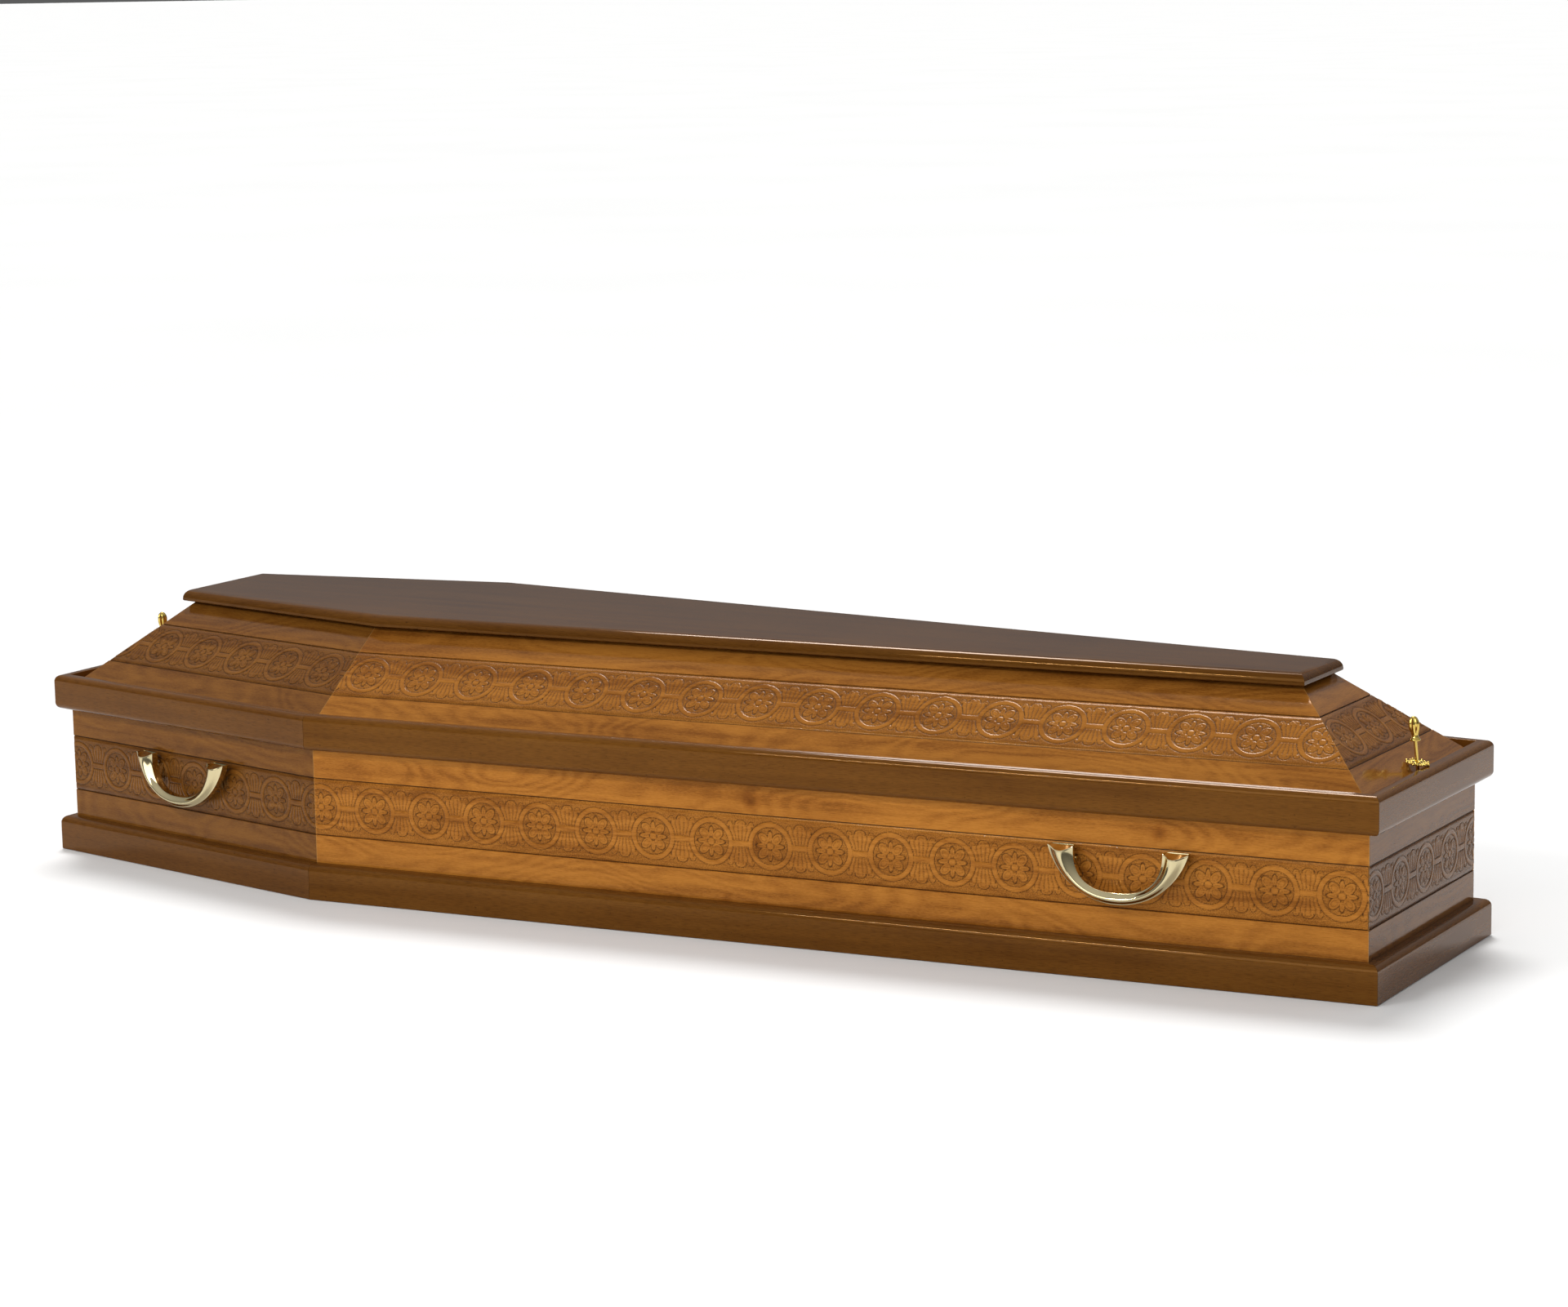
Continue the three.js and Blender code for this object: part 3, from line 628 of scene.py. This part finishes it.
def handle(side, material):
    section = handle_section()
    count = len(section)
    stations = np.linspace(0, 1, HANDLE_STATIONS + 1)
    points = np.array([handle_point(s, *point) for s in stations for point in section])
    quads = ring_quads(HANDLE_STATIONS + 1, count)[:, ::-1]

    # Scooped ends: quads from the front curve to the back line, and a small face on each flank
    front = np.arange(HANDLE_FRONT_POINTS)
    back_end = count - FLANK_POINTS
    back = np.arange(back_end - HANDLE_FRONT_POINTS, back_end)[::-1]
    last = HANDLE_STATIONS * count
    cap = np.stack([front[:-1], front[1:], back[1:], back[:-1]], axis=-1)
    flanks = [
        [*range(HANDLE_FRONT_POINTS - 1, HANDLE_FRONT_POINTS + FLANK_POINTS + 1)],
        [*range(back_end - 1, count), 0],
    ]
    ngons = [list(f) for f in flanks] + [[last + k for k in f[::-1]] for f in flanks]
    parts = [quads, cap, cap[:, ::-1] + last]
    leg_end = HORN_EDGE - HANDLE_FLANK + LEG_OVERLAP
    for hand in (-1, 1):
        leg, leg_quads = box_mesh(
            (hand * LEG_SPREAD, LEG_HEIGHT_AT, (leg_end + PLAY) / 2),
            (LEG_WIDTH, LEG_HEIGHT, leg_end - PLAY),
        )
        parts.append(leg_quads + len(points))
        points = np.concatenate([points, leg])
    for tip in (0, 1):
        rim, rim_quads = rim_tube(tip)
        parts.append(rim_quads + len(points))
        points = np.concatenate([points, rim])
    shoulder = side["name"].startswith("shoulder")
    place = side["length"] / 2 if shoulder else SIDE_HANDLE_FROM_SHOULDER
    if side["back"]:
        place = side["length"] - place
    along = np.array([*side["along"], 0])
    out = np.array([*side["out"], 0])
    origin = np.array([*(side["start"] + side["along"] * place), 0])
    world = points @ np.stack([along, (0, 0, 1), out]) + origin
    node = "handle_" + side["name"]
    quads = np.concatenate(parts)
    piece = make_piece(node + "_look", world, quads, ngons, material, smooth=HANDLE_SMOOTH)
    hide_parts(node)


# Lid screws

def turned(profile, segments, flutes=lambda z, t: 1.0):
    """Points and quads of a turned form along +Z, with a factor on its radius that may vary."""
    points = []
    for radius, z in profile:
        for t in np.linspace(0, 2 * math.pi, segments, endpoint=False):
            r = max(radius, 0.02) * flutes(z, t)
            points.append((r * math.cos(t), r * math.sin(t), z))
    quads = ring_quads(len(profile), segments)[:, ::-1]
    top = (len(profile) - 1) * segments
    caps = [list(range(segments))[::-1], [top + k for k in range(segments)]]
    return np.array(points), quads, caps


def place_on_end(points, x, seat, lean):
    c, s = math.cos(lean), math.sin(lean)
    turn = np.array([[c, 0, s], [0, 1, 0], [-s, 0, c]])
    return points @ turn.T + np.array([x, 0, seat])


def screw(end, x, lean, material):
    collar = [(3.4, -0.4), (6.4, -0.1), (6.8, 0.7), (6.5, 1.5), (5.4, 2.8), (4.5, 4.6), (4.1, 6.8)]
    bud = [
        (4.3, 23.5), (5.2, 20), (6.2, 17), (6.8, 14), (6.9, 11),
        (6.7, 8), (6.0, 5.2), (4.6, 2.6), (2.6, 0.9), (0, 0),
    ]
    profile = [(0, -SHANK_BURIED), (SHANK_RADIUS, -SHANK_BURIED + 4), (SHANK_RADIUS, COLLAR_AT - 0.6)]
    profile += [(r, COLLAR_AT + z) for r, z in collar]
    profile += [(r, SCREW_TOP - z) for r, z in bud]

    def flutes(z, t):
        share = min(max((z - COLLAR_AT - 6) / 6, 0), 1) * min(max((SCREW_TOP - z) / 2, 0), 1)
        return 1 - BUD_FLUTE_DEPTH * share * (0.5 - 0.5 * math.cos(SCREW_FLUTES * t)) ** 0.6

    points, quads, caps = turned(profile, 8 * SCREW_FLUTES, flutes)
    world = place_on_end(points, x, SCREW_SEAT, lean)
    node = "lid_screw_" + end
    piece = make_piece(node + "_look", world, quads, caps, material, smooth=SCREW_SMOOTH)
    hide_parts(node)


def torus(centre, radius, tube, around=20, section=8):
    points = []
    for t in np.linspace(0, 2 * math.pi, around, endpoint=False):
        for k in np.linspace(0, 2 * math.pi, section, endpoint=False):
            r = radius + tube * math.cos(k)
            points.append((r * math.cos(t), r * math.sin(t), tube * math.sin(k)))
    a = np.arange(around)[:, None] * section + np.arange(section)
    b = np.roll(a, -1, axis=0)
    quads = np.stack([a, b, np.roll(b, -1, axis=1), np.roll(a, -1, axis=1)], axis=-1)
    return np.array(points) + np.array(centre), quads.reshape(-1, 4)


def bead(centre, radius):
    profile = [(radius * math.sin(t), -radius * math.cos(t)) for t in np.linspace(0, math.pi, 9)]
    points, quads, caps = turned(profile, 12)
    return points + np.array(centre), np.concatenate([quads, np.array(caps)[:, [0, 3, 6, 9]]])


def around_axis(radius, turn, z):
    return radius * math.cos(turn), radius * math.sin(turn), z


def rosette(end, x, tilt, material):
    """Openwork rosette: a collar around the shank, a ring of eyelets and beads between them."""
    parts = [torus((0, 0, 1.6), 4.9, 1.5, 28, 10)]
    for k in range(ROSETTE_LOBES):
        t = k * 2 * math.pi / ROSETTE_LOBES
        parts.append(torus(around_axis(EYELET_FROM_AXIS, t, 1.5), 3.0, 1.1))
        parts.append(bead(around_axis(TIP_BEAD_FROM_AXIS, t, 1.9), 1.9))
        t += math.pi / ROSETTE_LOBES
        parts.append(bead(around_axis(GAP_BEAD_FROM_AXIS, t, 1.7), 1.6))
    points, quads = [], []
    total = 0
    for part_points, part_quads in parts:
        points.append(part_points)
        quads.append(part_quads + total)
        total += len(part_points)
    world = place_on_end(np.concatenate(points), x, ROSETTE_SEAT, tilt)
    node = "screw_rosette_" + end
    quads = np.concatenate(quads)
    piece = make_piece(node + "_look", world, quads, [], material, smooth=ROSETTE_SMOOTH)
    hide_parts(node)


# Materials

class Nodes:
    """Short calls for building one material's node tree."""

    def __init__(self, name):
        self.material = bpy.data.materials.new(name)
        self.material.use_nodes = True
        self.tree = self.material.node_tree
        self.shader = self.tree.nodes["Principled BSDF"]

    def add(self, kind, links=None, values=None, **settings):
        node = self.tree.nodes.new("ShaderNode" + kind)
        for key, value in settings.items():
            setattr(node, key, value)
        for key, value in (values or {}).items():
            node.inputs[key].default_value = value
        for key, socket in (links or {}).items():
            self.tree.links.new(socket, node.inputs[key])
        return node

    def noise(self, vector, scale, detail=4.0, roughness=0.55, distortion=0.0):
        values = {"Scale": scale, "Detail": detail, "Roughness": roughness, "Distortion": distortion}
        return self.add("TexNoise", {"Vector": vector}, values).outputs["Fac"]

    def stretch(self, vector, along, across):
        values = {"Scale": (along, across, 1.0)}
        return self.add("Mapping", {"Vector": vector}, values).outputs["Vector"]

    def math(self, operation, a, b):
        node = self.add("Math", operation=operation)
        for socket, value in zip(node.inputs, (a, b)):
            if isinstance(value, (int, float)):
                socket.default_value = value
            else:
                self.tree.links.new(value, socket)
        return node.outputs[0]

    def ramp(self, factor, stops):
        node = self.add("ValToRGB", {"Fac": factor})
        elements = node.color_ramp.elements
        while len(elements) < len(stops):
            elements.new(0.5)
        for element, (place, colour) in zip(elements, stops):
            element.position = place
            element.color = (*colour, 1.0)
        return node.outputs["Color"]

    def mix(self, factor, a, b, blend="MIX"):
        node = self.add("Mix", data_type="RGBA", blend_type=blend)
        for socket, value in zip((node.inputs[0], node.inputs[6], node.inputs[7]), (factor, a, b)):
            if isinstance(value, (int, float)):
                socket.default_value = value
            elif isinstance(value, tuple):
                socket.default_value = (*value, 1.0)
            else:
                self.tree.links.new(value, socket)
        return node.outputs[2]

    def bump(self, height, strength, distance, below=None):
        links = {"Height": height}
        if below is not None:
            links["Normal"] = below
        return self.add("Bump", links, {"Strength": strength, "Distance": distance}).outputs["Normal"]

    def finish(self, links, **values):
        for key, value in values.items():
            self.shader.inputs[key.replace("_", " ")].default_value = value
        for key, socket in links.items():
            self.tree.links.new(socket, self.shader.inputs[key])
        return self.material


def scaled(colour, factor):
    return tuple(c * factor for c in colour)


WOOD_LIGHT = (0.46, 0.178, 0.0270)
WOOD_MID = (0.370, 0.136, 0.0200)
WOOD_DARK = (0.250, 0.083, 0.0110)
WOOD_GROOVE = (0.035, 0.0105, 0.0018)
WOOD_EDGE = (0.62, 0.33, 0.10)
VARNISH_TINT = (1.0, 0.5, 0.14, 1.0)
VARNISH_GLOSS = 0.3
PALE_BRASS = (0.66, 0.57, 0.34)
PALE_TARNISH = (0.50, 0.41, 0.22)
YELLOW_BRASS = (0.72, 0.52, 0.13)
YELLOW_TARNISH = (0.5, 0.34, 0.07)

# Scales of the grain's patterns along and across it
PANEL_STREAKS = (1.8, 42)
PANEL_FIELD = (2.6, 9)
FLAME_RINGS = 130
PANEL_FLECKS = (160, 900)
PANEL_PORES = (45, 1400)
PANEL_SMOKE = (3.2, 7)
STIPPLE_SCALE = 620
MOULDING_STREAKS = (1.6, 60)
MOULDING_CLOUDS = (5, 9)
MOULDING_PORES = (70, 1100)
SPECK_SCALE = 190
HAIRLINES = (90, 1800)

# Tints laid over the wood
UNTINTED = (1, 1, 1)
PANEL_PORE_TINT = (0.6, 0.52, 0.45)
SMOKE_TINT = (0.55, 0.46, 0.38)
STIPPLE_DARK = (0.42, 0.4, 0.38)
STIPPLE_LIGHT = (1.05, 1.02, 1.0)
MOULDING_PORE_TINT = (0.6, 0.54, 0.5)
SPECK_TINT = (0.3, 0.25, 0.2)
KNOT_HEART = (0.36, 0.27, 0.2)
KNOT_HALO = (0.72, 0.62, 0.5)

# Tone of the wood and weight of the varnish coat
MOULDING_LOOK = (0.32, 0.05)
TOP_LOOK = (0.24, 0.012)
# All these boards share one veneer. Its tone is scaled per board to how light falls on each side, darkest
# on the shoulders and the box end, so these tones are painted shade. The second number is the weight of the
# varnish coat
BOARD_SHADES_AND_COATS = {
    "box_side": (0.95, 0.06),
    "lid_side": (0.75, 0.06),
    "box_shoulder": (0.43, 0.012),
    "lid_shoulder": (0.42, 0.06),
    "box_end": (0.4, 0.035),
    "lid_end": (0.6, 0.12),
}
# Knots in the long front board: middle along the board and up from the frieze, half width, half height
KNOT_BOARD = 1
KNOTTED_WOOD = "wood_box_side"
KNOTS = [(669, 58, 26, 26), (674, 4, 16, 22), (1228, 60, 22, 20), (629, -73, 16, 12)]


def knots(n, grain, colour):
    """Smoky dark knots in one board, found by its place along the grain."""
    wander = n.noise(grain, 60, 3, 0.6)
    for along, up, half_width, half_height in KNOTS:
        place = [(along + KNOT_BOARD * BOARD_SHIFT) * MM, (up + KNOT_BOARD * BOARD_SHIFT) * MM]
        size = [half_width * MM, half_height * MM]
        values = {
            "Scale": (1 / size[0], 1 / size[1], 1.0),
            "Location": (-place[0] / size[0], -place[1] / size[1], 0.0),
        }
        near = n.add("Mapping", {"Vector": grain}, values).outputs["Vector"]
        distance = n.add("VectorMath", {0: near}, operation="LENGTH").outputs["Value"]
        reach = n.math("ADD", distance, n.math("MULTIPLY", wander, 0.7))
        shade = n.ramp(reach, [(0.3, KNOT_HEART), (0.62, KNOT_HALO), (1.0, UNTINTED)])
        colour = n.mix(0.85, colour, shade, "MULTIPLY")
    return colour


def panel_wood(name, tone, coat):
    """Honey-brown veneer under varnish, stippled and darker in the sunk ground of the frieze."""
    n = Nodes(name)
    grain = n.add("UVMap", uv_map="grain").outputs["UV"]
    streak = n.noise(n.stretch(grain, *PANEL_STREAKS), 1.0, 5, 0.6, 0.5)
    field = n.noise(n.stretch(grain, *PANEL_FIELD), 1.0, 2, 0.45, 0.3)
    flame = n.math("SINE", n.math("MULTIPLY", field, FLAME_RINGS), 0)
    flecks = n.noise(n.stretch(grain, *PANEL_FLECKS), 1.0, 2, 0.6)
    pores = n.noise(n.stretch(grain, *PANEL_PORES), 1.0, 2, 0.6)
    blend = n.math("ADD", n.math("MULTIPLY", streak, 0.8), n.math("MULTIPLY", flame, 0.055))
    blend = n.math("ADD", blend, n.math("MULTIPLY", n.math("SUBTRACT", flecks, 0.2), 0.42))
    stops = ((0.36, WOOD_DARK), (0.5, WOOD_MID), (0.64, WOOD_LIGHT))
    # tone scales the whole veneer down on boards whose side lies in shade: painted shade
    colour = n.ramp(blend, [(place, scaled(shade, tone)) for place, shade in stops])
    pore_tint = n.ramp(pores, [(0.36, PANEL_PORE_TINT), (0.5, UNTINTED)])
    colour = n.mix(0.55, colour, pore_tint, "MULTIPLY")
    smoke = n.noise(n.stretch(grain, *PANEL_SMOKE), 1.0, 3, 0.55, 0.4)
    smoke_tint = n.ramp(smoke, [(0.28, SMOKE_TINT), (0.46, UNTINTED)])
    colour = n.mix(0.6, colour, smoke_tint, "MULTIPLY")
    if name == KNOTTED_WOOD:
        colour = knots(n, grain, colour)

    level = n.add("Attribute", attribute_name="sunk").outputs["Fac"]
    sunk = n.math("MAXIMUM", level, 0.0)
    edge = n.math("MAXIMUM", n.math("MULTIPLY", level, -0.45), 0.0)
    stipple = n.noise(grain, STIPPLE_SCALE, 1, 0.5)
    specks = n.ramp(stipple, [(0.4, STIPPLE_DARK), (0.62, STIPPLE_LIGHT)])
    colour = n.mix(n.math("MULTIPLY", sunk, 1.3), colour, n.mix(1.0, colour, specks, "MULTIPLY"))
    colour = n.mix(n.math("POWER", sunk, 3.0), colour, scaled(WOOD_GROOVE, tone))
    colour = n.mix(edge, colour, scaled(WOOD_EDGE, tone))
    rough = n.math("ADD", n.math("MULTIPLY", sunk, 0.3), 0.12)
    fine = n.bump(pores, 0.04, 0.0003)
    normal = n.bump(n.math("MULTIPLY", stipple, sunk), 0.4, 0.0008, fine)
    return n.finish(
        {"Base Color": colour, "Roughness": rough, "Normal": normal},
        Specular_IOR_Level=VARNISH_GLOSS, Specular_Tint=VARNISH_TINT, Coat_Weight=coat, Coat_Roughness=0.03,
    )


def moulding_wood(name, tone, coat):
    """Walnut-brown stained wood with a fine even grain and small dark specks, under varnish."""
    n = Nodes(name)
    grain = n.add("UVMap", uv_map="grain").outputs["UV"]
    streak = n.noise(n.stretch(grain, *MOULDING_STREAKS), 1.0, 6, 0.6, 0.4)
    cloud = n.noise(n.stretch(grain, *MOULDING_CLOUDS), 1.0, 3, 0.5)
    pores = n.noise(n.stretch(grain, *MOULDING_PORES), 1.0, 2, 0.6)
    blend = n.math("ADD", n.math("MULTIPLY", streak, 0.6), n.math("MULTIPLY", cloud, 0.4))
    stops = ((0.33, WOOD_DARK), (0.5, WOOD_MID), (0.68, WOOD_LIGHT))
    colour = n.ramp(blend, [(place, scaled(shade, tone)) for place, shade in stops])
    pore_tint = n.ramp(pores, [(0.35, MOULDING_PORE_TINT), (0.52, UNTINTED)])
    colour = n.mix(0.8, colour, pore_tint, "MULTIPLY")
    specks = n.noise(grain, SPECK_SCALE, 1, 0.4)
    speck_tint = n.ramp(specks, [(0.2, SPECK_TINT), (0.25, UNTINTED)])
    colour = n.mix(0.7, colour, speck_tint, "MULTIPLY")
    normal = n.bump(pores, 0.03, 0.0003)
    return n.finish(
        {"Base Color": colour, "Normal": normal},
        Roughness=0.08, Specular_IOR_Level=VARNISH_GLOSS, Specular_Tint=VARNISH_TINT,
        Coat_Weight=coat, Coat_Roughness=0.02,
    )


def polished_brass(name, colour, tarnish, roughness):
    """Polished plating with faint cloudiness and hairline marks."""
    n = Nodes(name)
    place = n.add("TexCoord").outputs["Object"]
    cloud = n.noise(place, 60, 4, 0.6)
    hair = n.noise(n.stretch(place, *HAIRLINES), 1.0, 2, 0.6)
    tint = n.mix(n.math("MULTIPLY", cloud, 0.35), colour, tarnish)
    rough = n.math("ADD", n.math("MULTIPLY", cloud, 0.06), roughness)
    return n.finish(
        {"Base Color": tint, "Roughness": rough, "Normal": n.bump(hair, 0.02, 0.0002)},
        Metallic=1.0,
    )


def pale_floor():
    n = Nodes("floor_pale")
    place = n.add("TexCoord").outputs["Object"]
    cloud = n.noise(place, 0.6, 2, 0.5)
    colour = n.ramp(cloud, [(0.3, (0.86, 0.86, 0.855)), (0.7, (0.88, 0.88, 0.875))])
    return n.finish({"Base Color": colour}, Roughness=0.9, Specular_IOR_Level=0.1)


# Stage

def build_stage():
    bpy.ops.mesh.primitive_plane_add(size=FLOOR_SIZE, location=(0, 0, FLOOR_HEIGHT))
    floor = bpy.context.object
    floor.name = "floor"
    floor.data.materials.append(pale_floor())

    camera = bpy.data.objects.new("camera", bpy.data.cameras.new("camera"))
    camera.location = CAMERA_PLACE
    camera.rotation_euler = CAMERA_TURN
    camera.data.lens = CAMERA_LENS
    camera.data.sensor_width = SENSOR_WIDTH
    camera.data.sensor_fit = "HORIZONTAL"
    camera.data.clip_end = CAMERA_REACH
    bpy.context.scene.collection.objects.link(camera)
    bpy.context.scene.camera = camera

    for name, energy, spread, place in SUNS:
        sun = bpy.data.lights.new(name, "SUN")
        sun.energy = energy
        sun.angle = math.radians(spread)
        add_light(sun, place, (0, 0, 0))
    strip = bpy.data.lights.new("strip", "AREA")
    strip.shape = "RECTANGLE"
    strip.size, strip.size_y = STRIP_SIZE
    strip.energy = STRIP_POWER
    add_light(strip, STRIP_PLACE, STRIP_TARGET)

    bpy.context.scene.world = studio_sky()
    bpy.context.scene.view_settings.view_transform = "Standard"


def studio_sky():
    """Even studio surroundings, dim towards the horizon and bright overhead."""
    world = bpy.data.worlds.new("studio")
    world.use_nodes = True
    nodes, links = world.node_tree.nodes, world.node_tree.links
    direction = nodes.new("ShaderNodeTexCoord")
    split = nodes.new("ShaderNodeSeparateXYZ")
    links.new(direction.outputs["Generated"], split.inputs["Vector"])
    ramp = nodes.new("ShaderNodeValToRGB")
    ramp.color_ramp.elements[0].color = (SKY_LOW, SKY_LOW, SKY_LOW, 1)
    ramp.color_ramp.elements[1].color = (SKY_HIGH, SKY_HIGH, SKY_HIGH, 1)
    links.new(split.outputs["Z"], ramp.inputs["Fac"])
    links.new(ramp.outputs["Color"], nodes["Background"].inputs["Color"])
    return world


def add_light(data, place, target):
    light = bpy.data.objects.new(data.name, data)
    light.location = place
    aim = np.array(target) - np.array(place)
    light.rotation_euler = (
        math.acos(-aim[2] / np.linalg.norm(aim)),
        0,
        math.atan2(aim[1], aim[0]) - math.pi / 2,
    )
    bpy.context.scene.collection.objects.link(light)


def build_coffin():
    # One copy of the veneer per board group, each darkened by its tone as painted shade
    panels = {tone: panel_wood("wood_" + tone, *look) for tone, look in BOARD_SHADES_AND_COATS.items()}
    dark_wood = moulding_wood("wood_moulding", *MOULDING_LOOK)
    top_wood = moulding_wood("wood_top", *TOP_LOOK)
    handle_brass = polished_brass("brass_handle", PALE_BRASS, PALE_TARNISH, 0.06)
    screw_brass = polished_brass("brass_screw", YELLOW_BRASS, YELLOW_TARNISH, 0.08)

    bottom_board(panels["box_end"])
    for index, side in enumerate(SIDES):
        name = side["name"]
        box_wood = panels["box_" + side["tone"]]
        lid_wood = panels["lid_" + side["tone"]]
        frieze_board(index, "box_" + name, BOARD_PROFILE, BOX_FRIEZE, side["box"], box_wood)
        frieze_board(index, "lid_slope_" + name, SLOPE_PROFILE, LID_FRIEZE, side["lid"], lid_wood)
        moulding(index, "base_moulding_" + name, BASE_PROFILE, dark_wood)
        moulding(index, "rim_moulding_" + name, RIM_PROFILE, dark_wood)
        if "_" in name:
            handle(side, handle_brass)
    top_board(top_wood)
    screw_x = HALF - SCREW_FROM_END
    for end, x, lean, tilt in (
        ("foot", screw_x, -FOOT_SCREW_LEAN, ROSETTE_TILT),
        ("head", -screw_x, 0, -ROSETTE_TILT),
    ):
        screw(end, x, lean, screw_brass)
        rosette(end, x, tilt, screw_brass)


build_stage()
build_coffin()
